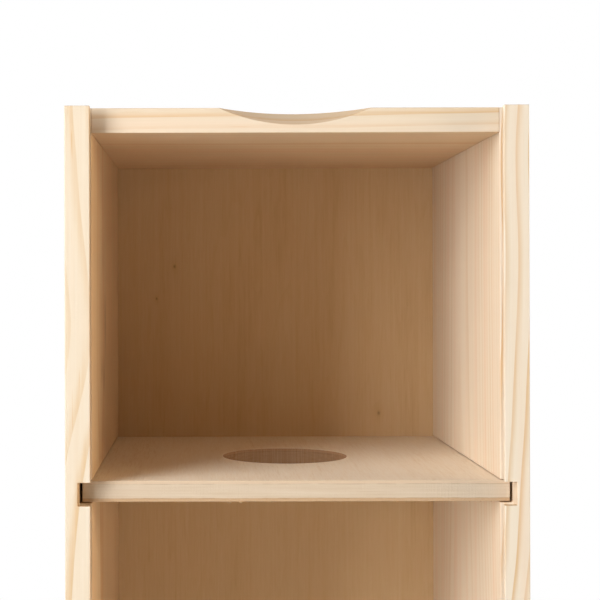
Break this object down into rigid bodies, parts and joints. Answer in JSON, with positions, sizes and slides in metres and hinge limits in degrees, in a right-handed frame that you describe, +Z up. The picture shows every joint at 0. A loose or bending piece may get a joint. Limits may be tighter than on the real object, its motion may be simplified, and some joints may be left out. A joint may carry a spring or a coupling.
{
  "type": "wooden wine box",
  "caption": "Upright open-front pine box for a wine bottle, with lid grooves, a plywood back and a slide-out plywood shelf that holds the bottle by its neck.",
  "frame": {"origin": "middle of the box's underside", "axes": "+Z up along the box's height, the open front faces -Y, +X to the right seen from the front"},
  "size_m": [0.11, 0.1078, 0.33],
  "materials": {
    "pine": "planed and sanded, unvarnished",
    "plywood": "raw sanded veneer with sawn edges",
    "nail_steel": "bright drawn wire"
  },
  "bodies": {
    "box": {"left_side": "pine", "right_side": "pine", "top_board": "pine", "bottom_board": "pine", "back_panel": "plywood", "top_left_nails": "nail_steel", "top_right_nails": "nail_steel", "bottom_left_nails": "nail_steel", "bottom_right_nails": "nail_steel"},
    "shelf": {"neck_shelf": "plywood"}
  },
  "joints": [
    {"name": "shelf_slide", "type": "slide", "parent": "box", "child": "shelf", "axis": [0, -1, 0], "range_m": [0, 0.11]}
  ]
}
